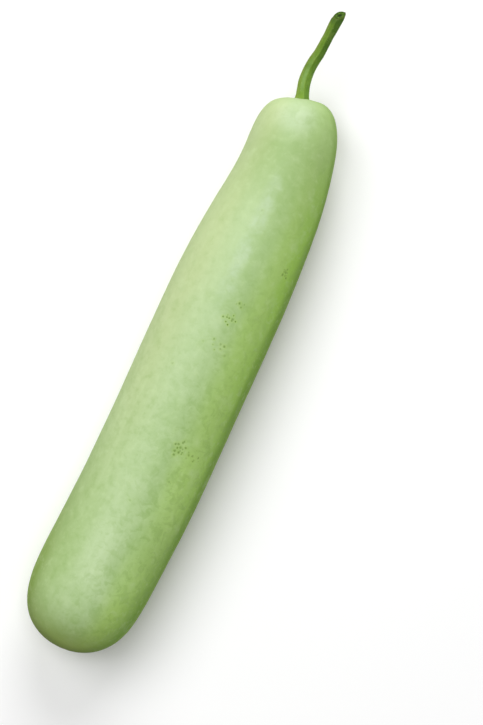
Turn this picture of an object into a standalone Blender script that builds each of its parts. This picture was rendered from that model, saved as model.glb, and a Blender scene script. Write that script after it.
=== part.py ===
"""A long bottle gourd (Lagenaria siceraria), as picked, lying on its side.

Two separate pieces: the fruit, and the stalk (peduncle) it was cut from the
vine with.  Metres, +Z up.  The fruit's length runs along Y, blossom end at -Y
and stalk at +Y, and it lies on Z = 0 on a narrow strip flattened by its own
weight.  The origin is under the middle of the whole gourd's bounding box.

The fruit is a turned form: a half profile spun round the long axis, then laid
along a gently wandering centre line.  The stalk is a five-ribbed section swept
along its own curve, cut off at a slant.
"""

import math

import bmesh
import bpy
import numpy as np
from mathutils import Matrix, Vector

MM = 0.001

# ---------------------------------------------------------------- dimensions
# Fruit.  y runs from the blossom tip (0) towards the stalk, x to its right.
FRUIT_LENGTH = 389.0
# Radius of the body before its ends are rounded off: even along the belly, then
# easing in to the neck, slowly at first.
BELLY, NECK = 38.5, 28.5
NECK_FROM, NECK_TO, NECK_LEAN = 215.0, 375.0, 1.6
# Centre line: a slow sway, the blossom end set a little to the left, and a hook
# to the left at the neck.
MIDDLE, SWAY, SWAY_AT, SWAY_LENGTH = 0.7, 0.5, 140.0, 240.0
SET_LEFT, SET_FROM, SET_TO = 2.6, 10.0, 120.0
HOOK, HOOK_FROM = 0.00195, 312.0
# Height of that line above the surface, lifting a little at the blossom end.
HEIGHT, LIFT, LIFT_LENGTH = 37.3, 1.6, 90.0
# Ends: length of the rounding, its power and its root.
BLOSSOM_END = (72.0, 4.0, 2.0)
STALK_END = (33.0, 2.0, 3.6)
# Hollow round the stalk, in the fruit's end.
HOLLOW_DEPTH, HOLLOW_RADIUS = 1.5, 9.0
# Hollow under the blossom scar.
SCAR_DEPTH, SCAR_RADIUS = 0.5, 5.0

# Stalk, in the same axes as the fruit's centre line.
STALK_X = (-10, -12, -13.5, -14, -14, -13.5, -12.5, -12, -11.5, -11, -10)
STALK_Y = (388, 394, 399.5, 405, 409, 414.5, 420.5, 427, 434.5, 442, 453)
STALK_Z = (37.5, 37.5, 38, 38.5, 39, 40.5, 42, 44, 46.5, 49.5, 53.5)
STALK_R = (4.6, 4.2, 4.1, 4.0, 3.9, 3.8, 3.6, 3.5, 3.5, 3.7, 3.7)
STALK_RIBS, RIB_HEIGHT, STALK_TWIST = 5, 0.07, 0.3
# The knife cut: its middle's y, and how far its face turns left and up for each
# unit that it faces ahead.
CUT_AT, CUT_LEFT, CUT_UP = 447.0, 0.55, 0.65
CUT_LIP = 3.73  # how far the slanted cut's lower lip reaches past its middle

JOINT_GAP = 0.45  # between the stalk's foot and the fruit

# Fineness
ROUND, ALONG = 48, 60
STALK_ROUND, STALK_ALONG = 20, 26


# ----------------------------------------------------------------- functions
def spline(xs, ys):
    """Natural cubic spline through (xs, ys), as a function of a numpy array."""
    xs, ys = np.asarray(xs, float), np.asarray(ys, float)
    n, h = len(xs), np.diff(xs)
    a, rhs = np.zeros((n, n)), np.zeros(n)
    a[0, 0] = a[-1, -1] = 1.0
    for i in range(1, n - 1):
        a[i, i - 1], a[i, i], a[i, i + 1] = h[i - 1], 2 * (h[i - 1] + h[i]), h[i]
        rhs[i] = 6 * ((ys[i + 1] - ys[i]) / h[i] - (ys[i] - ys[i - 1]) / h[i - 1])
    m = np.linalg.solve(a, rhs)

    def at(x):
        x = np.asarray(x, float)
        i = np.clip(np.searchsorted(xs, x) - 1, 0, n - 2)
        t, w = x - xs[i], h[i]
        slope = (ys[i + 1] - ys[i]) / w - w * (2 * m[i] + m[i + 1]) / 6
        return ys[i] + t * (slope + t * (m[i] / 2 + t * (m[i + 1] - m[i]) / (6 * w)))

    return at


def rounding(distance, end):
    """1 on the body, falling to 0 at the tip of an end."""
    length, power, root = end
    left = np.clip(1.0 - distance / length, 0.0, 1.0)
    return np.clip(1.0 - left**power, 0.0, 1.0) ** (1.0 / root)


def ease(x, low, high):
    """0 below low, 1 above high, and a smooth rise between."""
    t = np.clip((x - low) / (high - low), 0.0, 1.0)
    return t * t * (3.0 - 2.0 * t)


def centre_x(y):
    sway = SWAY * np.cos(2 * math.pi * (y - SWAY_AT) / SWAY_LENGTH)
    set_left = SET_LEFT * (1.0 - ease(y, SET_FROM, SET_TO))
    return MIDDLE + sway - set_left - HOOK * np.maximum(y - HOOK_FROM, 0.0) ** 2


def centre_z(y):
    return HEIGHT + LIFT * np.maximum(1.0 - y / LIFT_LENGTH, 0.0) ** 2


def girth(s):
    t = np.clip((s - NECK_FROM) / (NECK_TO - NECK_FROM), 0.0, 1.0) ** NECK_LEAN
    return BELLY - (BELLY - NECK) * ease(t, 0.0, 1.0)


def centre(y):
    """Points of the fruit's centre line."""
    y = np.asarray(y, float)
    return np.stack([centre_x(y), y, centre_z(y)], axis=-1)


RULE_Y = np.linspace(0.0, FRUIT_LENGTH, 4001)
RULE_S = np.concatenate(
    [[0.0], np.cumsum(np.linalg.norm(np.diff(centre(RULE_Y), axis=0), axis=1))]
)
TOTAL_S = RULE_S[-1]


def radius(s):
    return (
        girth(s) * rounding(s, BLOSSOM_END) * rounding(TOTAL_S - s, STALK_END)
    )


def half_profile(count):
    """(s, r) from the blossom tip to the stalk end, evenly spaced along the skin."""
    near = np.geomspace(1e-7, 1.0, 3000)
    s = np.unique(
        np.concatenate(
            [near * TOTAL_S / 2, TOTAL_S - near * TOTAL_S / 2, [0.0, TOTAL_S]]
        )
    )
    r = radius(s)
    r[0] = r[-1] = 0.0
    run = np.concatenate([[0.0], np.cumsum(np.hypot(np.diff(s), np.diff(r)))])
    at = np.linspace(0.0, run[-1], count + 1)
    return np.interp(at, run, s), np.interp(at, run, r)


def frame_at(s):
    """Centre, and the right, along and up directions of the centre line at s."""
    y = np.interp(s, RULE_S, RULE_Y)
    c = centre(y)
    along = centre(y + 0.5) - centre(y - 0.5)
    along /= np.linalg.norm(along, axis=-1, keepdims=True)
    right = np.cross(along, (0.0, 0.0, 1.0))
    right /= np.linalg.norm(right, axis=-1, keepdims=True)
    return c, right, along, np.cross(right, along)


def laid(s, r, angle):
    """A point of the spun form, laid along the centre line, in millimetres."""
    c, right, along, up = frame_at(s)
    dip = 0.0
    if s > TOTAL_S / 2:
        dip = -HOLLOW_DEPTH * math.exp(-((r / HOLLOW_RADIUS) ** 2))
        dip *= min(1.0, max(0.0, 1.0 - (TOTAL_S - s) / 12.0))
    elif s < 12.0:
        dip = SCAR_DEPTH * math.exp(-((r / SCAR_RADIUS) ** 2))
    return c + right * (r * math.cos(angle)) + up * (r * math.sin(angle)) + along * dip


def to_world(point):
    """Millimetres from the blossom tip to metres about the origin."""
    return (Vector(point) - SHIFT) * MM


# ------------------------------------------------------------------- helpers
def material(name, colour, rough):
    made = bpy.data.materials.new(name)
    made.use_nodes = True
    shader = made.node_tree.nodes["Principled BSDF"]
    shader.inputs["Base Color"].default_value = (*colour, 1.0)
    shader.inputs["Roughness"].default_value = rough
    shader.inputs["Metallic"].default_value = 0.0
    made.diffuse_color = (*colour, 1.0)
    return made


def smooth(obj, degrees=40):
    obj.data.shade_smooth()
    obj.data.set_sharp_from_angle(angle=math.radians(degrees))


def cut(obj, cutter):
    """Takes the cutter's volume off the object with an exact Boolean."""
    modifier = obj.modifiers.new("cut", "BOOLEAN")
    modifier.operation, modifier.solver, modifier.object = "DIFFERENCE", "EXACT", cutter


def box_cutter(name, size, matrix, collection):
    made = bpy.data.meshes.new(name)
    shape = bmesh.new()
    bmesh.ops.create_cube(shape, size=1.0, matrix=matrix @ Matrix.Diagonal((*size, 1.0)))
    shape.to_mesh(made)
    shape.free()
    obj = bpy.data.objects.new(name, made)
    obj.hide_render, obj.display_type = True, "WIRE"
    collection.objects.link(obj)
    return obj


# --------------------------------------------------------------------- scene
for old in list(bpy.data.objects):
    bpy.data.objects.remove(old, do_unlink=True)
gourd = bpy.data.collections.new("bottle_gourd")
cutters = bpy.data.collections.new("cutters")
bpy.context.scene.collection.children.link(gourd)
bpy.context.scene.collection.children.link(cutters)

# The origin is under the middle of the bounding box: x between the widest
# points of the fruit, y between the blossom tip and the stalk's cut end.
S_FINE = np.linspace(0.0, TOTAL_S, 4001)
_c, _right, _along, _up = frame_at(S_FINE)
_edge = _right * radius(S_FINE)[:, None]
LEFT_X, RIGHT_X = (_c - _edge)[:, 0].min(), (_c + _edge)[:, 0].max()
SHIFT = Vector(((LEFT_X + RIGHT_X) / 2, (SCAR_DEPTH + CUT_AT + CUT_LIP) / 2, 0.0))

# --------------------------------------------------------------------- fruit
# The half profile as a chain of edges, spun round the long axis.
skin = bmesh.new()
s_list, r_list = half_profile(ALONG)
chain = [skin.verts.new((r, s, 0.0)) for s, r in zip(s_list, r_list)]
links = [skin.edges.new(pair) for pair in zip(chain, chain[1:])]
bmesh.ops.spin(
    skin,
    geom=chain + links,
    cent=(0.0, 0.0, 0.0),
    axis=(0.0, 1.0, 0.0),
    angle=2 * math.pi,
    steps=ROUND,
    use_merge=True,
)
bmesh.ops.remove_doubles(skin, verts=skin.verts[:], dist=1e-4)
# Laid along the centre line.
for vert in skin.verts:
    x, s, z = vert.co
    vert.co = to_world(laid(s, math.hypot(x, z), math.atan2(z, x)))
bmesh.ops.recalc_face_normals(skin, faces=skin.faces[:])
fruit_mesh = bpy.data.meshes.new("fruit")
skin.to_mesh(fruit_mesh)
skin.free()
fruit = bpy.data.objects.new("fruit", fruit_mesh)
gourd.objects.link(fruit)
fruit_mesh.materials.append(material("gourd_skin", (0.47, 0.64, 0.29), 0.42))
smooth(fruit)
# The narrow flat it rests on.
cut(
    fruit,
    box_cutter("surface", (0.4, 1.0, 0.1), Matrix.Translation((0, 0, -0.05)), cutters),
)

# --------------------------------------------------------------------- stalk
# A ribbed section swept along the stalk's line, thicker at its foot.
rib = bpy.data.curves.new("stalk_section", "CURVE")
rib.dimensions = "2D"
ring = rib.splines.new("POLY")
ring.points.add(STALK_ROUND - 1)
for i, point in enumerate(ring.points):
    a = 2 * math.pi * i / STALK_ROUND
    r = MM * (1.0 + RIB_HEIGHT * (math.cos(STALK_RIBS * a) - 1.0) / 2)
    point.co = (r * math.cos(a), r * math.sin(a), 0.0, 1.0)
ring.use_cyclic_u = True
section = bpy.data.objects.new("stalk_section", rib)
section.hide_render, section.display_type = True, "WIRE"
cutters.objects.link(section)

run = np.linspace(0.0, 1.0, len(STALK_Y))
fine = np.linspace(0.0, 1.0, STALK_ALONG)
stalk_at = [spline(run, values) for values in (STALK_X, STALK_Y, STALK_Z, STALK_R)]
# The foot stands just off the fruit's end, on the fruit's own axis.
foot, _, foot_along, _ = frame_at(TOTAL_S)
sunk = HOLLOW_DEPTH * math.exp(-((STALK_R[0] / HOLLOW_RADIUS) ** 2))
foot = foot + foot_along * (JOINT_GAP - sunk)
path = np.stack([f(fine) for f in stalk_at[:3]], axis=-1)
start = np.array([STALK_X[0], STALK_Y[0], STALK_Z[0]])
offset = (foot - start) * np.clip(1.0 - fine / 0.35, 0.0, 1.0)[:, None] ** 2
path += offset
line = bpy.data.curves.new("stalk", "CURVE")
line.dimensions = "3D"
line.bevel_mode, line.bevel_object, line.use_fill_caps = "OBJECT", section, True
line.twist_mode = "MINIMUM"
sweep = line.splines.new("POLY")
sweep.points.add(STALK_ALONG - 1)
for point, place, r, t in zip(sweep.points, path, stalk_at[3](fine), fine):
    point.co = (*to_world(place), 1.0)
    point.radius, point.tilt = r, STALK_TWIST * t
curve = bpy.data.objects.new("stalk_line", line)
gourd.objects.link(curve)
bpy.context.view_layer.update()
graph = bpy.context.evaluated_depsgraph_get()
stalk_mesh = bpy.data.meshes.new_from_object(curve.evaluated_get(graph))
stalk_mesh.name = "stalk"
caps = bmesh.new()
caps.from_mesh(stalk_mesh)
bmesh.ops.remove_doubles(caps, verts=caps.verts[:], dist=1e-6)
bmesh.ops.recalc_face_normals(caps, faces=caps.faces[:])
caps.to_mesh(stalk_mesh)
caps.free()
stalk = bpy.data.objects.new("stem", stalk_mesh)
stalk.matrix_world = curve.matrix_world
bpy.data.objects.remove(curve, do_unlink=True)
gourd.objects.link(stalk)
stalk_mesh.materials.clear()
stalk_mesh.materials.append(material("stalk_skin", (0.16, 0.30, 0.05), 0.5))
smooth(stalk)
# Cut off at a slant, its face turned up and to the left.
end_dir = Vector(path[-1] - path[-3]).normalized()
side = end_dir.cross(Vector((0, 0, 1))).normalized()
facing = end_dir - side * CUT_LEFT + side.cross(end_dir) * CUT_UP
share = np.interp(CUT_AT, path[:, 1], fine)
at_cut = to_world([np.interp(share, fine, path[:, i]) for i in range(3)])
turn = facing.to_track_quat("Z", "Y").to_matrix().to_4x4()
cut(
    stalk,
    box_cutter(
        "knife",
        (0.04, 0.04, 0.02),
        Matrix.Translation(at_cut) @ turn @ Matrix.Translation((0, 0, 0.01)),
        cutters,
    ),
)
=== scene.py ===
"""The looks of a long bottle gourd, as picked, lying on a pale surface.

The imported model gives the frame.  Its two solids are replaced by fine meshes
of the same form: the fruit's skin, with its lumps, folds and blossom scar, and
the ribbed stalk with its slanted cut.  All finishes are procedural.
"""

import math
import random

import bpy
import numpy as np
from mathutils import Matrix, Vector, noise


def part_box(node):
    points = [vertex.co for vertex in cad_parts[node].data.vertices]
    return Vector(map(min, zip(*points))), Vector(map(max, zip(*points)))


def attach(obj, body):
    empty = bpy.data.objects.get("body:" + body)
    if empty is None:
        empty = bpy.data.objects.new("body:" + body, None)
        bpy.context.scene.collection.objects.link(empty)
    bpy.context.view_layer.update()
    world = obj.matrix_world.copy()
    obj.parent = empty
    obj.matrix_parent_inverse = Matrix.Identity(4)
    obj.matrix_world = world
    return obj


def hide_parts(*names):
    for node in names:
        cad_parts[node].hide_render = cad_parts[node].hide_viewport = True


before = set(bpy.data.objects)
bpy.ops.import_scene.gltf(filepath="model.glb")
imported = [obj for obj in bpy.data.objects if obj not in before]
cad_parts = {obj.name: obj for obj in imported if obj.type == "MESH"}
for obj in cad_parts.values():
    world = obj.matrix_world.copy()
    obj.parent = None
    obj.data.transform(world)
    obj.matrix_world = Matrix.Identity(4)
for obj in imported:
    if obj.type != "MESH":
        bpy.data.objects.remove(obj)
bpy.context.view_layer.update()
MM = 0.001

# ---------------------------------------------------------------- the form
# Millimetres from the blossom tip: y towards the stalk, x to its right.
FRUIT_LENGTH = 389.0
# Radius of the body before its ends are rounded off: even along the belly, then
# easing in to the neck, slowly at first.
BELLY, NECK = 38.5, 28.5
NECK_FROM, NECK_TO, NECK_LEAN = 215.0, 375.0, 1.6
# Centre line: a slow sway, the blossom end set a little to the left, and a hook
# to the left at the neck.
MIDDLE, SWAY, SWAY_AT, SWAY_LENGTH = 0.7, 0.5, 140.0, 240.0
SET_LEFT, SET_FROM, SET_TO = 2.6, 10.0, 120.0
HOOK, HOOK_FROM = 0.00195, 312.0
# Height of that line above the surface, lifting a little at the blossom end.
HEIGHT, LIFT, LIFT_LENGTH = 37.3, 1.6, 90.0
BLOSSOM_END = (72.0, 4.0, 2.0)
STALK_END = (33.0, 2.0, 3.6)
HOLLOW_DEPTH, HOLLOW_RADIUS = 1.5, 9.0
SCAR_DEPTH, SCAR_RADIUS = 0.5, 5.0
REST_SOFTNESS = 1.1  # how far up the skin bends into its flat

STALK_X = (-10, -12, -13.5, -14, -14, -13.5, -12.5, -12, -11.5, -11, -10)
STALK_Y = (388, 394, 399.5, 405, 409, 414.5, 420.5, 427, 434.5, 442, 453)
STALK_Z = (37.5, 37.5, 38, 38.5, 39, 40.5, 42, 44, 46.5, 49.5, 53.5)
STALK_R = (4.6, 4.2, 4.1, 4.0, 3.9, 3.8, 3.6, 3.5, 3.5, 3.7, 3.7)
RIDGE, TWIST = 1.33, 0.30  # where the stalk's top ridge starts, and its turn
CUT_AT, CUT_LEFT, CUT_UP = 447.0, 0.55, 0.65

# Fineness of the two meshes
ROUND, ALONG = 288, 326
STALK_ROUND, STALK_ALONG = 160, 240


def spline(xs, ys):
    """Natural cubic spline through (xs, ys), as a function of a numpy array."""
    xs, ys = np.asarray(xs, float), np.asarray(ys, float)
    n, h = len(xs), np.diff(xs)
    a, rhs = np.zeros((n, n)), np.zeros(n)
    a[0, 0] = a[-1, -1] = 1.0
    for i in range(1, n - 1):
        a[i, i - 1], a[i, i], a[i, i + 1] = h[i - 1], 2 * (h[i - 1] + h[i]), h[i]
        rhs[i] = 6 * ((ys[i + 1] - ys[i]) / h[i] - (ys[i] - ys[i - 1]) / h[i - 1])
    m = np.linalg.solve(a, rhs)

    def at(x):
        x = np.asarray(x, float)
        i = np.clip(np.searchsorted(xs, x) - 1, 0, n - 2)
        t, w = x - xs[i], h[i]
        slope = (ys[i + 1] - ys[i]) / w - w * (2 * m[i] + m[i + 1]) / 6
        return ys[i] + t * (slope + t * (m[i] / 2 + t * (m[i + 1] - m[i]) / (6 * w)))

    return at


def unit(v):
    return v / np.maximum(np.linalg.norm(v, axis=-1, keepdims=True), 1e-12)


def bell(x, middle, width):
    return np.exp(-(((x - middle) / width) ** 2))


def smoothstep(x, low, high):
    t = np.clip((x - low) / (high - low), 0.0, 1.0)
    return t * t * (3 - 2 * t)


def lumps(points, size, seed, octaves=2):
    """Smooth noise at each point, about -1 to 1, with lumps of that size."""
    flat = points.reshape(-1, 3) / size
    shift = Vector((seed * 17.3, seed * 5.1, seed * 9.7))
    made = [noise.fractal(Vector(p) + shift, 1.0, 2.0, octaves) for p in flat]
    return np.array(made).reshape(points.shape[:-1])


def centre_x(y):
    sway = SWAY * np.cos(2 * math.pi * (y - SWAY_AT) / SWAY_LENGTH)
    set_left = SET_LEFT * (1.0 - smoothstep(y, SET_FROM, SET_TO))
    return MIDDLE + sway - set_left - HOOK * np.maximum(y - HOOK_FROM, 0.0) ** 2


def centre_z(y):
    return HEIGHT + LIFT * np.maximum(1.0 - y / LIFT_LENGTH, 0.0) ** 2


def girth(s):
    t = np.clip((s - NECK_FROM) / (NECK_TO - NECK_FROM), 0.0, 1.0) ** NECK_LEAN
    return BELLY - (BELLY - NECK) * smoothstep(t, 0.0, 1.0)


def centre(y):
    return np.stack([centre_x(y), y, centre_z(y)], axis=-1)


RULE_Y = np.linspace(0.0, FRUIT_LENGTH, 4001)
RULE_S = np.concatenate(
    [[0.0], np.cumsum(np.linalg.norm(np.diff(centre(RULE_Y), axis=0), axis=1))]
)
TOTAL_S = RULE_S[-1]


def rounding(distance, end):
    length, power, root = end
    left = np.clip(1.0 - distance / length, 0.0, 1.0)
    return np.clip(1.0 - left**power, 0.0, 1.0) ** (1.0 / root)


def radius(s):
    return girth(s) * rounding(s, BLOSSOM_END) * rounding(TOTAL_S - s, STALK_END)


def frame_at(s):
    """Centre, and the right, along and up directions of the centre line at s."""
    y = np.interp(s, RULE_S, RULE_Y)
    along = unit(centre(y + 0.5) - centre(y - 0.5))
    right = unit(np.cross(along, (0.0, 0.0, 1.0)))
    return centre(y), right, along, np.cross(right, along)


def half_profile(count):
    """(s, r) from tip to tip, closer together near the two ends."""
    near = np.geomspace(1e-7, 1.0, 4000)
    s = np.unique(
        np.concatenate(
            [near * TOTAL_S / 2, TOTAL_S - near * TOTAL_S / 2, [0.0, TOTAL_S]]
        )
    )
    r = radius(s)
    r[0] = r[-1] = 0.0
    run = np.concatenate([[0.0], np.cumsum(np.hypot(np.diff(s), np.diff(r)))])
    # Steps of about 0.6 at the tips grow to full size 40 mm away.
    away = np.minimum(run, run[-1] - run)
    density = 1.0 / (0.45 + 0.55 * smoothstep(away, 4.0, 45.0))
    steps = np.concatenate(
        [[0.0], np.cumsum((density[1:] + density[:-1]) / 2 * np.diff(run))]
    )
    at = np.interp(np.linspace(0.0, steps[-1], count + 1), steps, run)
    return np.interp(at, run, s), np.interp(at, run, r)


def laid(s, r, angle):
    """Points of the smooth form: s and r along it, angle round it from the right."""
    c, right, along, up = frame_at(s)
    stalk_half = s > TOTAL_S / 2
    dip = np.where(
        stalk_half,
        -HOLLOW_DEPTH
        * bell(r, 0.0, HOLLOW_RADIUS)
        * np.clip(1.0 - (TOTAL_S - s) / 12.0, 0.0, 1.0),
        np.where(s < 12.0, SCAR_DEPTH * bell(r, 0.0, SCAR_RADIUS), 0.0),
    )
    cos, sin = np.cos(angle), np.sin(angle)
    return (
        c[..., None, :]
        + right[..., None, :] * (r[..., None] * cos)[..., None]
        + up[..., None, :] * (r[..., None] * sin)[..., None]
        + (along * dip[..., None])[..., None, :]
    )


# The form's own middle, put where the CAD fruit's box has it.
_fine = np.linspace(0.0, TOTAL_S, 4001)
_c, _right, _, _ = frame_at(_fine)
_edge = _right * radius(_fine)[:, None]
_low, _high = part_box("fruit")
SHIFT = np.array(
    [
        ((_c - _edge)[:, 0].min() + (_c + _edge)[:, 0].max()) / 2
        - (_low.x + _high.x) / 2 / MM,
        SCAR_DEPTH - _low.y / MM,
        0.0,
    ]
)


def to_row(points):
    return (points - SHIFT) * MM


# ------------------------------------------------------------------- meshes
def ring_mesh(name, rings, first=None, last=None, material=0):
    """A mesh skinned over rings of points, in metres, closed with a point at each end."""
    rows, columns = rings.shape[:2]
    points = [rings.reshape(-1, 3)]
    index = np.arange(rows * columns).reshape(rows, columns)
    nxt = np.roll(index, -1, axis=1)
    quads = np.stack([index[:-1], index[1:], nxt[1:], nxt[:-1]], axis=-1).reshape(-1, 4)
    triangles = []
    count = rows * columns
    if first is not None:
        points.append(first[None])
        triangles.append(np.stack([index[0], nxt[0], np.full(columns, count)], -1))
        count += 1
    if last is not None:
        points.append(last[None])
        triangles.append(np.stack([nxt[-1], index[-1], np.full(columns, count)], -1))
    points = np.concatenate(points)
    triangles = np.concatenate(triangles) if triangles else np.zeros((0, 3), int)
    mesh = bpy.data.meshes.new(name)
    mesh.vertices.add(len(points))
    mesh.vertices.foreach_set("co", points.astype(np.float32).ravel())
    corners = np.concatenate([quads.ravel(), triangles.ravel()])
    mesh.loops.add(len(corners))
    mesh.loops.foreach_set("vertex_index", corners.astype(np.int32))
    starts = np.concatenate(
        [
            np.arange(len(quads)) * 4,
            len(quads) * 4 + np.arange(len(triangles)) * 3,
        ]
    )
    mesh.polygons.add(len(starts))
    mesh.polygons.foreach_set("loop_start", starts.astype(np.int32))
    mesh.update(calc_edges=True)
    mesh.validate()
    mesh.shade_smooth()
    made = bpy.data.objects.new(name, mesh)
    bpy.context.scene.collection.objects.link(made)
    return made


def set_number(obj, name, values, ends=()):
    """A number at each point: one per ring point, then one per end."""
    values = np.concatenate([np.asarray(values, float).ravel(), ends])
    made = obj.data.attributes.new(name, "FLOAT", "POINT")
    made.data.foreach_set("value", values.astype(np.float32))


def ring_normals(rings):
    across = np.roll(rings, -1, axis=1) - np.roll(rings, 1, axis=1)
    down = np.gradient(rings, axis=0)
    return unit(np.cross(down, across))


# -------------------------------------------------------------------- fruit
ANGLES = np.arange(ROUND) * 2 * math.pi / ROUND
s_list, r_list = half_profile(ALONG + 1)
rings = laid(s_list[1:-1], r_list[1:-1], ANGLES[None, :])
S, R = s_list[1:-1, None] + 0 * ANGLES, r_list[1:-1, None] + 0 * ANGLES
TURN = ANGLES[None, :] + 0 * S
outward = ring_normals(rings)
from_stalk = np.where(S > TOTAL_S / 2, R + (TOTAL_S - S), 999.0)
from_scar = np.where(S < TOTAL_S / 2, R + S * 0.3, 999.0)

# Gentle lumps of growth, fading into the two ends.
body = smoothstep(from_stalk, 12.0, 60.0) * smoothstep(from_scar, 8.0, 50.0)
relief = 0.32 * lumps(rings * (1, 0.6, 1), 38.0, 1) * (0.35 + 0.65 * body)
relief += 0.07 * lumps(rings * (1, 0.7, 1), 11.0, 2) * (0.4 + 0.6 * body)
# Faint flutes down its length over the bundles in the flesh.
wander = 0.35 * lumps(rings * (1, 0.35, 1), 60.0, 3, 1)
flute = np.cos(10 * (TURN + wander)) * 0.6 + np.cos(17 * (TURN - wander) + 1.1) * 0.4
relief += 0.045 * flute * (0.35 + 0.65 * lumps(rings, 70.0, 4, 1)) * body
# Folds drawn in round the stalk.
wobble = 0.25 * lumps(rings, 9.0, 5)
fold = 0.6 * np.cos(5 * TURN + 0.6 + wobble) + 0.4 * np.cos(9 * TURN + 2.0 - wobble)
relief += 0.32 * fold * bell(from_stalk, 8.5, 4.5)
relief += 0.25 * bell(from_stalk, 6.3, 1.2)
# The scar where the blossom fell: a small ring, a pit, and creases round it.
crease = np.cos(13 * TURN + 3 * wobble) * 0.6 + np.cos(8 * TURN + 1.0) * 0.4
relief += 0.30 * bell(from_scar, 3.4, 0.9) - 0.35 * bell(from_scar, 0.0, 1.5)
relief += 0.10 * crease * bell(from_scar, 6.0, 2.6)

rings = rings + outward * relief[..., None]
# It lies flat on its underside, and bends softly into that flat.
z, e = rings[..., 2], REST_SOFTNESS
rings[..., 2] = np.where(z < e, np.where(z > -e, (z + e) ** 2 / (4 * e), 0.0), z)
first = laid(s_list[:1], r_list[:1], ANGLES[None, :1])[0, 0]
last = laid(s_list[-1:], r_list[-1:], ANGLES[None, :1])[0, 0]
first = first + np.array([0.0, 0.35, 0.0])
fruit = ring_mesh("gourd_fruit", to_row(rings), to_row(first), to_row(last))

set_number(fruit, "along", S, (0.0, TOTAL_S))
set_number(fruit, "across", np.cos(TURN), (0.0, 0.0))
set_number(fruit, "facing", ring_normals(rings)[..., 2], (0.0, 0.0))
set_number(fruit, "fold", fold, (0.0, 0.0))
set_number(fruit, "from_stalk", from_stalk, (999.0, 0.0))
set_number(fruit, "from_scar", from_scar, (0.0, 999.0))
set_number(fruit, "flute", flute * body, (0.0, 0.0))

# -------------------------------------------------------------------- stalk
share = np.linspace(0.0, 1.0, 2001)
knots = np.linspace(0.0, 1.0, len(STALK_Y))
path = np.stack([spline(knots, v)(share) for v in (STALK_X, STALK_Y, STALK_Z)], -1)
foot, _, foot_along, _ = (v[0] for v in frame_at(np.array([TOTAL_S])))
path += (foot - foot_along * 2.6 - path[0]) * np.clip(1 - share / 0.35, 0, 1)[:, None] ** 2
girths = spline(knots, STALK_R)(share)
length = np.concatenate([[0], np.cumsum(np.linalg.norm(np.diff(path, axis=0), axis=1))])
ahead = unit(np.gradient(path, axis=0))
side = unit(np.cross(ahead, (0.0, 0.0, 1.0)))
over = np.cross(side, ahead)

# Where each line down the stalk meets the slanted knife cut.
turns = np.arange(STALK_ROUND) * 2 * math.pi / STALK_ROUND
end = Vector(path[-1] - path[-160]).normalized()
level = end.cross(Vector((0, 0, 1))).normalized()
knife = np.array((end - level * CUT_LEFT + level.cross(end) * CUT_UP).normalized())
cut_share = np.interp(CUT_AT, path[:, 1], share)
cut_middle = np.array([np.interp(cut_share, share, path[:, i]) for i in range(3)])


def at_share(t, values):
    return np.stack([np.interp(t, share, values[:, i]) for i in range(3)], -1)


def stalk_shape(t, angle):
    """Points of the stalk's skin at share t of its path, angle round it."""
    run = np.interp(t, share, length)
    twist = angle - RIDGE - TWIST * t
    fifth = (twist + math.pi / 5) % (2 * math.pi / 5) - math.pi / 5
    # Ridges at fifth = 0 with nearly flat, faintly channelled faces between.
    face = math.cos(math.pi / 5) / np.cos(math.pi / 5 - np.abs(fifth))
    r = np.interp(t, share, girths)
    r = r * (0.60 + 0.40 * face - 0.022 * (1 - np.cos(5 * twist)) / 2)
    r = r * (1.02 + 0.05 * bell(fifth, 0.0, 0.13))
    r = r + 0.05 * np.cos(23 * twist + 2 * np.sin(run / 9)) + 0.03 * np.cos(37 * twist)
    # The foot spreads, most along the ridges, where it grows into the fruit.
    r = r + (0.35 + 0.75 * bell(fifth, 0.0, 0.28)) * np.exp(-np.maximum(run - 1.6, 0) / 1.5)
    place = at_share(t, path)
    out = (
        at_share(t, side) * np.cos(angle)[..., None]
        + at_share(t, over) * np.sin(angle)[..., None]
    )
    bumps = 0.10 * lumps(place * (1, 0.5, 1) + out * 4.0, 3.2, 8)
    bumps += 0.16 * lumps(place + out * 1.5, 14.0, 9, 1)
    return place + out * (r + bumps)[..., None]


low_t, high_t = np.full(STALK_ROUND, cut_share - 0.12), np.ones(STALK_ROUND)
for _ in range(30):
    middle_t = (low_t + high_t) / 2
    beyond = (stalk_shape(middle_t, turns) - cut_middle) @ knife > 0
    high_t, low_t = np.where(beyond, middle_t, high_t), np.where(beyond, low_t, middle_t)
# The long lip of the slanting cut is blunt.
excess = np.maximum(low_t - cut_share, 0) / (low_t.max() - cut_share)
low_t -= (excess - excess / (1 + excess**4) ** 0.25) * (low_t.max() - cut_share)
ramp = np.linspace(0.0, 1.0, STALK_ALONG)[:, None]
pull = ramp**3
t_grid = ramp * (cut_share * (1 - pull) + low_t[None, :] * pull)
skin = stalk_shape(t_grid, turns[None, :] + 0 * t_grid)
# The cut edge has shrunk in and dried round.
to_cut = np.clip(1 - (cut_middle - skin) @ knife / 2.4, 0, 1) ** 2
lip = np.clip((low_t - cut_share) / (low_t.max() - cut_share), 0, 1)
axis = at_share(t_grid, path)
reach = np.linalg.norm(skin - axis, axis=-1)
even = reach.mean(axis=1, keepdims=True) / reach
skin = axis + (skin - axis) * (1 + (even - 1) * 0.75 * to_cut - (0.08 + 0.10 * lip**2) * to_cut)[..., None]
rim = skin[-1]
middle = rim.mean(axis=0)
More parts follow.
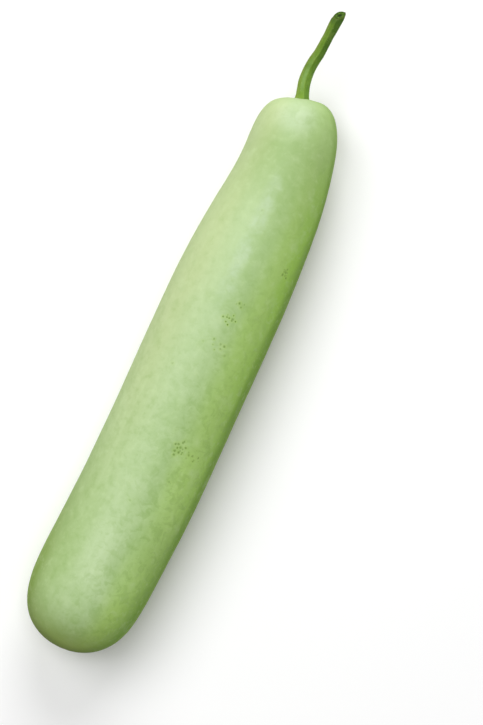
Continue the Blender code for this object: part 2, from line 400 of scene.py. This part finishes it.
# The cut face: a crisp lip, a fleshy ring a little sunken, and a hollow pith.
scales = np.array([0.985, 0.96, 0.92, 0.86, 0.78, 0.70, 0.62, 0.54, 0.46, 0.38, 0.34, 0.31, 0.29, 0.27, 0.22, 0.14])
depths = np.array([-0.05, -0.09, -0.11, -0.10, -0.06, -0.01, 0.03, 0.02, 0.02, 0.06, 0.14, 0.28, 0.44, 0.60, 0.74, 0.80])
face = middle + (rim - middle) * scales[:, None, None] - knife * depths[:, None, None]
face = face + knife * (0.05 * lumps(face, 1.1, 11) * (scales[:, None] > 0.33))[..., None]
stalk_rings = np.concatenate([skin, face])
stalk = ring_mesh(
    "gourd_stalk", to_row(stalk_rings), to_row(path[0]), to_row(middle - knife * 0.82)
)
on_face = np.concatenate([np.zeros(STALK_ALONG), np.ones(len(scales))])[:, None] + 0 * turns
set_number(stalk, "cut_face", on_face, (0.0, 1.0))
set_number(
    stalk,
    "cut_radius",
    np.concatenate([np.ones(STALK_ALONG), scales])[:, None] + 0 * turns,
    (1.0, 0.0),
)
LENGTH = float(np.interp(cut_share, share, length))
run_grid = np.concatenate(
    [np.interp(t_grid, share, length), np.full(face.shape[:2], length[-1])]
)
set_number(stalk, "run", run_grid, (0.0, length[-1]))
t_all = np.concatenate([t_grid, np.full(face.shape[:2], 1.0)])
twist = turns[None, :] - RIDGE - TWIST * t_all
set_number(stalk, "rib", np.cos(5 * twist), (0.0, 0.0))
fifth = (twist + math.pi / 5) % (2 * math.pi / 5) - math.pi / 5
set_number(stalk, "ridge", bell(fifth, 0.0, 0.12), (0.0, 0.0))
set_number(stalk, "side", np.cos(twist), (0.0, 0.0))
set_number(stalk, "back", np.sin(twist), (0.0, 0.0))
from_cut = np.concatenate([(cut_middle - skin) @ knife, np.zeros(face.shape[:2])])
set_number(stalk, "from_cut", from_cut, (LENGTH, 0.0))


# ---------------------------------------------------------------- materials
def srgb(*rgb):
    """A colour given as it looks on a screen, 0 to 255, as Blender wants it."""
    return tuple(
        c / 255 / 12.92 if c / 255 <= 0.04045 else ((c / 255 + 0.055) / 1.055) ** 2.4
        for c in rgb
    ) + (1.0,)


class Shader:
    """Builds one material's nodes."""

    def __init__(self, name):
        self.material = bpy.data.materials.new(name)
        self.material.use_nodes = True
        self.tree = self.material.node_tree
        self.bsdf = self.tree.nodes["Principled BSDF"]

    def node(self, kind, inputs=(), **settings):
        made = self.tree.nodes.new(kind)
        for key, value in settings.items():
            setattr(made, key, value)
        for key, value in dict(inputs).items():
            self.put(made.inputs[key], value)
        return made

    def put(self, socket, value):
        if isinstance(value, bpy.types.NodeSocket):
            self.tree.links.new(value, socket)
        else:
            socket.default_value = value

    def number(self, name):
        return self.node("ShaderNodeAttribute", attribute_name=name).outputs["Fac"]

    def math(self, operation, a, b=0.0, c=0.0, clamp=False):
        return self.node(
            "ShaderNodeMath", {0: a, 1: b, 2: c}, operation=operation, use_clamp=clamp
        ).outputs[0]

    def range(self, value, low, high, to_low=0.0, to_high=1.0, kind="SMOOTHSTEP"):
        return self.node(
            "ShaderNodeMapRange",
            {"Value": value, "From Min": low, "From Max": high, "To Min": to_low, "To Max": to_high},
            interpolation_type=kind,
        ).outputs["Result"]

    def mix(self, share, a, b, blend="MIX"):
        made = self.node("ShaderNodeMix", data_type="RGBA", blend_type=blend)
        self.put(made.inputs[0], share)
        self.put(made.inputs[6], a)
        self.put(made.inputs[7], b)
        return made.outputs[2]

    def scaled(self, vector, by):
        return self.node(
            "ShaderNodeVectorMath", {0: vector, 1: by}, operation="MULTIPLY"
        ).outputs[0]

    def noise(self, vector, scale, detail=2.0, rough=0.5, distortion=0.0):
        return self.node(
            "ShaderNodeTexNoise",
            {"Vector": vector, "Scale": scale, "Detail": detail, "Roughness": rough, "Distortion": distortion},
        ).outputs["Fac"]

    def cells(self, vector, scale, feature="F1", random=1.0):
        return self.node(
            "ShaderNodeTexVoronoi",
            {"Vector": vector, "Scale": scale, "Randomness": random},
            feature=feature,
        )

    def bump(self, height, distance, strength=1.0, normal=None):
        made = self.node(
            "ShaderNodeBump", {"Height": height, "Distance": distance, "Strength": strength}
        )
        if normal is not None:
            self.put(made.inputs["Normal"], normal)
        return made.outputs["Normal"]


# Small natural marks in loose clusters, mostly on its upper right: how far along
# from the blossom tip and to the right of the middle (mm), how far they spread
# each way, how many they are and how dark.
CLUSTERS = (
    (281, 28, 3.0, 2.5, 11, 0.60), (239, 8, 3.5, 4.5, 10, 1.05), (250, 10, 3.0, 3.0, 4, 0.70),
    (221, 9, 4.0, 5.5, 6, 0.65), (151, 14, 5.0, 4.0, 14, 0.70), (149, 24, 3.5, 5.5, 8, 0.60),
    (129, 17, 0.5, 1.5, 2, 0.35), (190, 0, 120.0, 24.0, 7, 0.25),
)


def scattered():
    """Each mark: how far along and to the right (mm), its size (mm) and depth."""
    chance = random.Random(5)
    for y, x, y_spread, x_spread, count, depth in CLUSTERS:
        for i in range(count):
            turn = 2.4 * i + chance.uniform(-0.5, 0.5)
            out = math.sqrt((i + 0.5) / count) * chance.uniform(0.8, 1.15)
            yield (
                y + y_spread * out * math.cos(turn),
                x + x_spread * out * math.sin(turn),
                chance.uniform(0.42, 0.85),
                depth * chance.uniform(0.55, 1.15),
            )


def on_skin(y, x):
    """The point on the fruit's upper side, in millimetres of its own frame."""
    middle, right, _, up = (v[0] for v in frame_at(np.interp([y], RULE_Y, RULE_S)))
    r = float(radius(np.interp(y, RULE_Y, RULE_S)))
    cos = (x - middle[0]) / r
    return (middle + right * r * cos + up * r * math.sqrt(1 - cos * cos)) - SHIFT


def skin_material():
    m = Shader("gourd_skin_fine")
    place = m.scaled(m.node("ShaderNodeTexCoord").outputs["Object"], (1000, 1000, 1000))
    drawn = m.scaled(place, (1.0, 0.40, 1.0))  # patterns drawn out along the fruit
    lines = m.scaled(place, (1.0, 0.055, 1.0))
    along, across = m.number("along"), m.number("across")
    facing = m.number("facing")
    stalk_side, scar_side = m.number("from_stalk"), m.number("from_scar")
    broad = m.noise(drawn, 0.030, 2.0)  # blotches some 30 mm wide
    patch = m.noise(place, 0.075, 3.0, 0.55)
    blotch = m.noise(place, 0.20, 3.0, 0.6)
    line = m.noise(lines, 0.30, 2.0, 0.5)
    fine = m.noise(drawn, 1.3, 3.0, 0.6)
    drift = m.math("MULTIPLY_ADD", broad, 0.5, -0.25)
    around = m.math("ADD", across, drift)

    # The ground colour: sage, paler down the left, partly its own colour and partly a painted reflection of the lights,
    # and greener down the right, partly its own colour and partly painted shade.
    colour = m.mix(m.range(broad, 0.38, 0.62), srgb(157, 185, 124), srgb(164, 190, 133))
    pale = m.math("MULTIPLY", m.range(around, -0.10, -0.70), m.range(along, 70.0, 240.0, 0.20, 1.0))
    colour = m.mix(pale, colour, srgb(180, 197, 143))
    green = m.mix(m.range(along, 190.0, 90.0), srgb(162, 196, 106), srgb(174, 207, 120))
    green = m.mix(m.range(along, 64.0, 26.0), green, srgb(160, 193, 98))
    green = m.mix(m.range(along, 320.0, 365.0), green, srgb(164, 193, 123))
    colour = m.mix(m.range(around, 0.15, 0.70), colour, green)
    # Along the right edge a saturated green, partly its own colour and partly painted shade.
    edge_green_and_shade = m.math("MULTIPLY", m.range(around, 0.62, 0.90), m.range(along, 380.0, 325.0, 0.25, 1.0))
    edge_green_and_shade = m.math("MULTIPLY", edge_green_and_shade, m.range(along, 60.0, 170.0, 0.35, 0.85))
    colour = m.mix(edge_green_and_shade, colour, srgb(146, 194, 56))
    # Painted shade: a darker, greener shoulder where it narrows to the neck.
    shoulder_shade = m.math(
        "MULTIPLY", m.range(along, 285.0, 342.0), m.range(along, 382.0, 348.0)
    )
    shoulder_shade = m.math("MULTIPLY", shoulder_shade, m.range(facing, 0.20, 0.75, 0.10, 0.50))
    shoulder_shade = m.math("MULTIPLY", shoulder_shade, m.range(across, -0.90, -0.20, 0.55, 1.0))
    colour = m.mix(shoulder_shade, colour, srgb(141, 169, 100))
    # A whitish painted highlight over its upper left, with soft ragged edges.
    ragged = m.math("MULTIPLY_ADD", m.noise(place, 0.07, 4.0, 0.55), 1.3, -0.65)
    veil_highlight = m.math("MULTIPLY", m.range(m.math("ADD", across, ragged), 0.12, -0.26), m.range(across, -0.85, -0.35))
    veil_highlight = m.math("MULTIPLY", veil_highlight, m.range(along, 352.0, 310.0))
    colour = m.mix(m.math("MULTIPLY", veil_highlight, 0.15), colour, srgb(206, 220, 188))
    # Painted highlights: a whiter streak runs down the shoulder, and a pale cloud sits low on the belly.
    wander = m.math("MULTIPLY_ADD", ragged, 0.22, across)
    streak_highlight = m.math("ABSOLUTE", m.math("ADD", wander, 0.05))
    streak_highlight = m.math("MULTIPLY", m.range(streak_highlight, 0.20, 0.02), m.range(along, 225.0, 275.0))
    streak_highlight = m.math("MULTIPLY", streak_highlight, m.range(along, 352.0, 322.0))
    streak_highlight = m.math("MULTIPLY", streak_highlight, m.range(patch, 0.36, 0.60, 0.10, 0.30))
    colour = m.mix(streak_highlight, colour, srgb(200, 216, 198))
    cloud_highlight = m.math("ABSOLUTE", m.math("ADD", wander, m.range(along, 38.0, 70.0, -0.10, 0.04)))
    cloud_highlight = m.math("MULTIPLY", m.range(cloud_highlight, 0.42, 0.06), m.range(along, -10.0, 60.0))
    cloud_highlight = m.math("MULTIPLY", cloud_highlight, m.range(along, 114.0, 76.0))
    colour = m.mix(m.math("MULTIPLY", cloud_highlight, 0.26), colour, srgb(206, 222, 186))
    # And a painted highlight on the cheek just below the stalk.
    cheek_highlight = m.node("ShaderNodeVectorMath", {0: place, 1: tuple(on_skin(377.0, -9.0))}, operation="DISTANCE").outputs["Value"]
    colour = m.mix(m.range(cheek_highlight, 20.0, 2.0, 0.0, 0.40), colour, srgb(212, 224, 200))
    # Painted shade: its lower flanks deepen to a darker green on the right and round the blossom end, lighter again
    # underneath.
    tilt = m.math("ADD", facing, m.math("MULTIPLY", drift, 0.8))
    stalkward = m.range(along, 325.0, 380.0, 1.0, 0.45)
    right_flank_shade = m.math("MULTIPLY", m.range(across, 0.0, 0.5), m.math("MULTIPLY", m.range(tilt, 0.56, 0.22), stalkward))
    blossom_end_shade = m.math("MULTIPLY", m.range(along, 155.0, 20.0, 0.04, 1.0), m.range(tilt, 0.90, 0.30))
    flank_shade = m.math("MAXIMUM", right_flank_shade, blossom_end_shade)
    shade_green = m.mix(m.range(across, -0.35, -0.80), srgb(106, 150, 0), srgb(118, 146, 50))
    colour = m.mix(flank_shade, colour, m.mix(m.range(tilt, 0.45, -0.50), shade_green, srgb(142, 172, 70)))
    # The side it lay on is duller and a little yellow.
    colour = m.mix(m.range(tilt, -0.30, -0.95, 0.0, 0.85), colour, srgb(168, 180, 108))
    # Lengthwise streaks over the bundles, then blotches large and small.
    low_half = m.range(along, 330.0, 120.0, 0.45, 1.0)
    streak = m.math("ADD", m.math("MULTIPLY", m.number("flute"), 0.10), line)
    streak = m.math("MULTIPLY", m.range(streak, 0.68, 0.35, 0.0, 0.09), low_half)
    colour = m.mix(streak, colour, srgb(134, 168, 84))
    colour = m.mix(m.range(patch, 0.52, 0.75, 0.0, 0.20), colour, srgb(190, 211, 160))
    colour = m.mix(m.range(patch, 0.46, 0.25, 0.0, 0.22), colour, srgb(136, 168, 92))
    colour = m.mix(m.range(blotch, 0.50, 0.75, 0.0, 0.18), colour, srgb(196, 216, 164))
    colour = m.mix(m.math("MULTIPLY", m.range(blotch, 0.50, 0.28, 0.0, 0.24), low_half), colour, srgb(128, 162, 84))
    colour = m.mix(m.math("MULTIPLY", m.range(fine, 0.55, 0.80, 0.0, 0.12), low_half), colour, srgb(196, 216, 160))
    colour = m.mix(m.math("MULTIPLY", m.range(fine, 0.42, 0.20, 0.0, 0.14), low_half), colour, srgb(126, 160, 82))
    islands = m.noise(place, 0.15, 4.0, 0.62, 0.8)
    islands = m.math("MULTIPLY", m.range(islands, 0.50, 0.40, 0.0, 0.26), m.range(across, -0.45, 0.35, 0.25, 1.0))
    colour = m.mix(m.math("MULTIPLY", islands, low_half), colour, srgb(124, 160, 74))
    # Pale flecks of a millimetre, drawn out along the fruit.
    fleck = m.cells(drawn, 0.42).outputs["Distance"]
    kept = m.range(m.noise(drawn, 0.16, 1.0), 0.46, 0.62)
    fleck = m.math("MULTIPLY", m.range(fleck, 0.26, 0.08), kept)
    fleck = m.math("MULTIPLY", fleck, m.math("MULTIPLY", low_half, 0.13))
    colour = m.mix(fleck, colour, srgb(203, 222, 168))

    # Painted shade darkens the blossom end to olive, deepest where its skin turns to face sideways, round a small tan
    # scar.
    rays = m.math("MULTIPLY_ADD", m.noise(place, 0.45, 2.0), 5.0, -2.5)
    to_scar = m.math("ADD", scar_side, rays)
    blossom_shade_under = m.mix(m.range(tilt, 0.30, -0.45), srgb(95, 113, 7), srgb(132, 152, 62))
    colour = m.mix(
        m.range(to_scar, 48.0, 14.0, 0.0, 0.85),
        colour,
        m.mix(m.range(tilt, 0.62, 0.30), srgb(124, 144, 34), blossom_shade_under),
    )
    colour = m.mix(m.range(to_scar, 12.0, 4.5, 0.0, 0.60), colour, srgb(134, 142, 78))
    colour = m.mix(m.range(scar_side, 4.6, 3.0, 0.0, 0.85), colour, srgb(132, 112, 70))
    colour = m.mix(m.range(scar_side, 2.0, 0.9, 0.0, 0.90), colour, srgb(84, 66, 40))

    # Pale skin drawn up to the stalk, with painted shade in its creases.
    ends = m.math("ADD", stalk_side, m.math("MULTIPLY", rays, 1.2))
    drawn_up = m.math("MULTIPLY", m.range(ends, 42.0, 10.0), m.range(across, -0.10, 0.50, 0.60, 0.45))
    colour = m.mix(drawn_up, colour, srgb(180, 202, 146))
    colour = m.mix(
        m.math("MULTIPLY", m.range(ends, 17.0, 6.0), m.range(m.number("fold"), 0.1, -0.8, 0.0, 0.32)),
        colour,
        srgb(138, 166, 78),
    )
    colour = m.mix(m.range(stalk_side, 7.4, 5.6, 0.0, 0.75), colour, srgb(196, 218, 128))
    # Painted shade in the crease where the stalk meets the fruit.
    colour = m.mix(m.range(stalk_side, 5.0, 4.0, 0.0, 0.9), colour, srgb(96, 122, 44))

    # The small dark marks, each in a faint pale halo.
    jitter = m.node("ShaderNodeTexNoise", {"Vector": place, "Scale": 1.1, "Detail": 3.0})
    moved = m.node(
        "ShaderNodeVectorMath", {0: jitter.outputs["Color"], 1: (1.3, 1.3, 1.3)}, operation="MULTIPLY"
    ).outputs[0]
    moved = m.node("ShaderNodeVectorMath", {0: place, 1: moved}, operation="ADD").outputs[0]
    dark = halo = None
    for y, x, size, depth in scattered():
        spot = tuple(on_skin(y, x) + 0.65)
        away = m.node("ShaderNodeVectorMath", {0: moved, 1: spot}, operation="DISTANCE").outputs["Value"]
        one = m.range(away, size * 1.65, size * 0.35, 0.0, depth)
        ring = m.range(away, size * 3.6, size * 1.2, 0.0, depth)
        dark = one if dark is None else m.math("MAXIMUM", dark, one)
        halo = ring if halo is None else m.math("MAXIMUM", halo, ring)
    colour = m.mix(m.math("MULTIPLY", halo, 0.42), colour, srgb(162, 196, 92))
    colour = m.mix(m.math("MULTIPLY", dark, 0.92), colour, srgb(86, 117, 34))
    m.put(m.bsdf.inputs["Base Color"], colour)

    satin = m.math("MULTIPLY_ADD", m.math("ADD", patch, blotch), 0.12, 0.34)
    satin = m.math("MULTIPLY_ADD", dark, 0.15, satin)
    satin = m.math("MULTIPLY_ADD", m.range(facing, 0.75, 0.25), 0.30, satin)
    satin = m.math("MULTIPLY_ADD", m.range(stalk_side, 52.0, 30.0), 0.18, satin)
    m.put(m.bsdf.inputs["Roughness"], satin)
    height = m.math("MULTIPLY_ADD", dark, -1.2, fine)
    height = m.math("MULTIPLY_ADD", blotch, 1.2, height)
    height = m.math("MULTIPLY_ADD", line, 0.5, height)
    m.put(m.bsdf.inputs["Normal"], m.bump(height, 0.00004))
    m.bsdf.inputs["Specular IOR Level"].default_value = 0.32
    return m.material


def stalk_material():
    m = Shader("stalk_skin_fine")
    place = m.scaled(m.node("ShaderNodeTexCoord").outputs["Object"], (1000, 1000, 1000))
    run, ridge = m.number("run"), m.number("ridge")
    side, back = m.number("side"), m.number("back")
    on_cut, cut_radius = m.number("cut_face"), m.number("cut_radius")
    from_cut = m.number("from_cut")
    lengthwise = m.node(
        "ShaderNodeCombineXYZ",
        {0: m.math("MULTIPLY", side, 2.6), 1: m.math("MULTIPLY", run, 0.10), 2: m.math("MULTIPLY", back, 2.6)},
    ).outputs[0]
    strands = m.noise(lengthwise, 1.6, 3.0, 0.6)
    blotch = m.noise(place, 0.16, 3.0, 0.6)
    fine = m.noise(place, 1.6, 3.0, 0.6)
    colour = m.mix(m.range(run, 6.0, 36.0), srgb(107, 142, 30), srgb(96, 131, 22))
    # Painted shade: its right-hand face, turned from the light, darkens towards the cut.
    right = m.mix(m.range(run, 8.0, 44.0), srgb(120, 158, 44), srgb(70, 108, 4))
    colour = m.mix(m.range(back, 0.20, -0.30), colour, right)
    colour = m.mix(m.range(back, 0.55, 0.95, 0.0, 0.50), colour, srgb(124, 134, 60))
    # A painted highlight, pale and bluish, on its left face over its lower half.
    left_face_highlight = m.math("MULTIPLY", m.range(back, 0.0, 0.22), m.range(back, 0.85, 0.45))
    left_face_highlight = m.math("MULTIPLY", left_face_highlight, m.math("MULTIPLY", m.range(run, 5.0, 12.0), m.range(run, 38.0, 20.0)))
    colour = m.mix(m.math("MULTIPLY", left_face_highlight, 0.35), colour, srgb(134, 172, 104))
    colour = m.mix(m.range(strands, 0.50, 0.72, 0.0, 0.30), colour, srgb(124, 156, 56))
    colour = m.mix(m.range(strands, 0.48, 0.28, 0.0, 0.40), colour, srgb(66, 102, 10))
    colour = m.mix(m.range(blotch, 0.50, 0.72, 0.0, 0.45), colour, srgb(124, 146, 62))
    colour = m.mix(m.range(blotch, 0.48, 0.28, 0.0, 0.45), colour, srgb(66, 106, 20))
    colour = m.mix(m.math("MULTIPLY", ridge, 0.14), colour, srgb(132, 160, 80))
    colour = m.mix(m.range(fine, 0.56, 0.80, 0.0, 0.22), colour, srgb(140, 166, 90))
    # Corky lenticels, short pale dashes along it.
    dash = m.cells(m.scaled(lengthwise, (1.5, 3.6, 1.5)), 1.0)
    seldom = m.range(m.noise(place, 0.5, 1.0), 0.50, 0.60)
    dash = m.math("MULTIPLY", m.range(dash.outputs["Distance"], 0.22, 0.10), seldom)
    colour = m.mix(m.math("MULTIPLY", dash, 0.55), colour, srgb(168, 178, 116))
    # It yellows where it grows out of the fruit.
    colour = m.mix(m.range(run, 5.0, 1.8, 0.0, 0.35), colour, srgb(128, 158, 56))
    # Painted shade on the right side of its foot.
    foot_right_shade = m.math("MULTIPLY", m.range(run, 17.0, 10.0), m.range(back, 0.10, -0.35, 0.0, 0.60))
    colour = m.mix(foot_right_shade, colour, srgb(84, 124, 30))
    # It darkens towards the cut, and is browned right at the knife's edge.
    uneven = m.math("MULTIPLY_ADD", blotch, 3.0, from_cut)
    colour = m.mix(m.range(uneven, 6.6, 2.2, 0.0, 0.80), colour, srgb(58, 92, 6))
    colour = m.mix(m.range(uneven, 2.6, 1.3, 0.0, 0.45), colour, srgb(100, 106, 34))

    # The cut: a green ring of flesh, pale bundles, a brown edge and dark pith.
    ring = m.mix(m.range(m.noise(place, 0.9, 3.0, 0.6), 0.35, 0.65), srgb(40, 72, 0), srgb(62, 92, 0))
    bundle = m.math("MULTIPLY", m.range(m.number("rib"), 0.15, 0.85), m.math("MULTIPLY", m.range(cut_radius, 0.40, 0.52), m.range(cut_radius, 0.72, 0.60)))
    ring = m.mix(m.math("MULTIPLY", bundle, 0.60), ring, srgb(98, 132, 46))
    ring = m.mix(m.range(cut_radius, 0.84, 0.95, 0.0, 0.75), ring, srgb(84, 94, 18))
    ring = m.mix(m.range(cut_radius, 0.36, 0.26), ring, srgb(30, 50, 0))
    colour = m.mix(on_cut, colour, ring)
    m.put(m.bsdf.inputs["Base Color"], colour)
    dull = m.math("MULTIPLY_ADD", on_cut, 0.36, 0.42)
    m.put(m.bsdf.inputs["Roughness"], m.math("MULTIPLY_ADD", blotch, 0.20, dull))
    height = m.math("MULTIPLY_ADD", strands, 1.5, fine)
    m.put(m.bsdf.inputs["Normal"], m.bump(height, 0.00010))
    m.bsdf.inputs["Specular IOR Level"].default_value = 0.35
    return m.material


def clear_and_give(obj, material):
    obj.data.materials.clear()
    obj.data.materials.append(material)


clear_and_give(fruit, skin_material())
clear_and_give(stalk, stalk_material())
for piece, node, slot in (
    (fruit, "fruit", "gourd_skin"),
    (stalk, "stem", "stalk_skin"),
):
    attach(piece, "root")
    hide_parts(node)

# -------------------------------------------------------- floor, light, camera
floor_mesh = bpy.data.meshes.new("floor")
floor_mesh.from_pydata(
    [(-25, -25, 0), (25, -25, 0), (25, 25, 0), (-25, 25, 0)], [], [(0, 1, 2, 3)]
)
floor = bpy.data.objects.new("floor", floor_mesh)
bpy.context.scene.collection.objects.link(floor)
floor_look = Shader("floor_white")
floor_look.bsdf.inputs["Base Color"].default_value = (0.92, 0.92, 0.92, 1.0)
floor_look.bsdf.inputs["Roughness"].default_value = 0.9
floor_look.bsdf.inputs["Specular IOR Level"].default_value = 0.1
clear_and_give(floor, floor_look.material)

world = bpy.data.worlds.new("studio")
bpy.context.scene.world = world
world.use_nodes = True
background = world.node_tree.nodes["Background"]
background.inputs["Color"].default_value = (1.0, 1.0, 1.0, 1.0)
background.inputs["Strength"].default_value = 0.21

PICTURE_TURN = math.radians(25.006)  # the picture's right, turned from +X


def softbox(name, around, height, size, strength, distance=3.0, aim=(0.0, 0.0, 0.04)):
    """A round softbox: around from the picture's right and height, in degrees.

    Strength 1 lights a white card that faces it to full white."""
    around, height = math.radians(around) + PICTURE_TURN, math.radians(height)
    towards = Vector(
        (
            math.cos(around) * math.cos(height),
            math.sin(around) * math.cos(height),
            math.sin(height),
        )
    )
    data = bpy.data.lights.new(name, "AREA")
    data.shape, data.size = "DISK", size
    data.energy = strength * math.pi**2 * distance**2
    made = bpy.data.objects.new(name, data)
    place = Vector(aim) + towards * distance
    made.location = place
    made.rotation_mode = "QUATERNION"
    made.rotation_quaternion = towards.to_track_quat("Z", "Y")
    bpy.context.scene.collection.objects.link(made)
    return made


softbox("key", 80, 36, 1.8, 0.56)
softbox("side", 140, 60, 1.8, 0.39)
softbox("overhead", 0, 90, 1.8, 0.38)

LENS, FRAME_HEIGHT = 120.0, 0.47125  # the picture's height on the fruit's mid plane
camera_data = bpy.data.cameras.new("camera")
camera_data.lens, camera_data.sensor_width = LENS, 36.0
camera = bpy.data.objects.new("camera", camera_data)
camera.location = (0.0266, -0.0083, 0.0375 + FRAME_HEIGHT / 36.0 * LENS)
camera.rotation_euler = (0.0, 0.0, PICTURE_TURN)
bpy.context.scene.collection.objects.link(camera)
bpy.context.scene.camera = camera
bpy.context.scene.view_settings.view_transform = "Standard"

bpy.context.view_layer.update()
